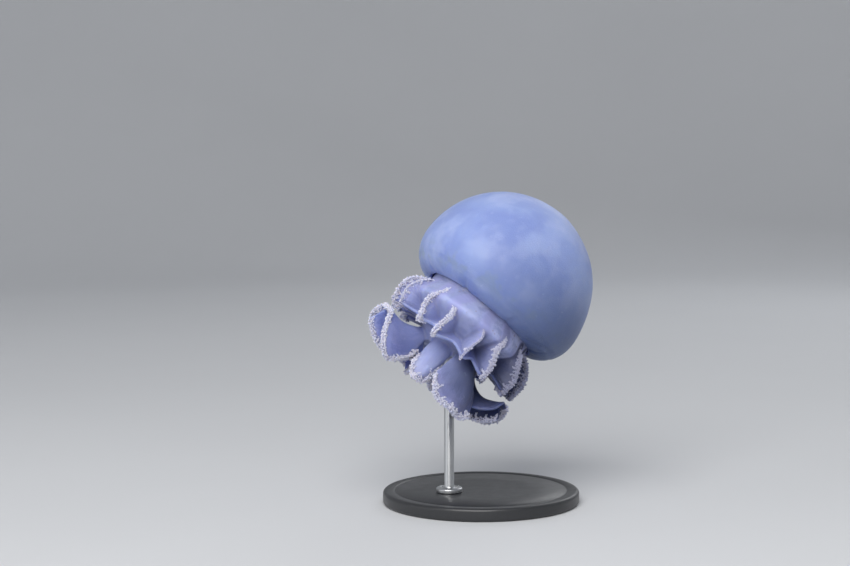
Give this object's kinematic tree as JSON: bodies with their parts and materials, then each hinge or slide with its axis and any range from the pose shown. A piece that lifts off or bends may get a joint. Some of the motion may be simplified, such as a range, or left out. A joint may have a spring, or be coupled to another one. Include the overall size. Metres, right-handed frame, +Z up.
{
  "type": "cannonball jellyfish",
  "caption": "Life-size still model of a domed blue-white jellyfish with frilled scapulets and frilled oral arms, banking as it swims, held over a round base by a steel rod.",
  "frame": {"origin": "middle of the underside of the round base, on the surface that the model stands on", "axes": "+Z up; +X to the right and +Y away from a viewer who faces the animal as it is posed, so the apex of the bell points up, right and a little away"},
  "size_m": [0.1362, 0.1274, 0.1897],
  "materials": {
    "bell": null,
    "manubrium": "wet, milky violet-blue jelly with faint brownish specks",
    "scapulets": "wet translucent jelly with a paler granular frill on the outer edge",
    "oral_arms": "wet slate-blue to lilac jelly with near-white granular frills along the rims",
    "stand_base": "satin, near black",
    "stand_rod": "satin"
  },
  "bodies": {
    "root": {"bell_crown": "bell", "bell_shoulder": "bell", "bell_flank": "bell", "bell_margin": "bell", "manubrium": "manubrium", "oral_arm_1": "oral_arms", "scapulet_1_left": "scapulets", "scapulet_1_right": "scapulets", "oral_arm_2": "oral_arms", "scapulet_2_left": "scapulets", "scapulet_2_right": "scapulets", "oral_arm_3": "oral_arms", "scapulet_3_left": "scapulets", "scapulet_3_right": "scapulets", "oral_arm_4": "oral_arms", "scapulet_4_left": "scapulets", "scapulet_4_right": "scapulets", "oral_arm_5": "oral_arms", "scapulet_5_left": "scapulets", "scapulet_5_right": "scapulets", "oral_arm_6": "oral_arms", "scapulet_6_left": "scapulets", "scapulet_6_right": "scapulets", "oral_arm_7": "oral_arms", "scapulet_7_left": "scapulets", "scapulet_7_right": "scapulets", "oral_arm_8": "oral_arms", "scapulet_8_left": "scapulets", "scapulet_8_right": "scapulets", "stand_base": "stand_base", "stand_rod": "stand_rod"}
  },
  "joints": []
}
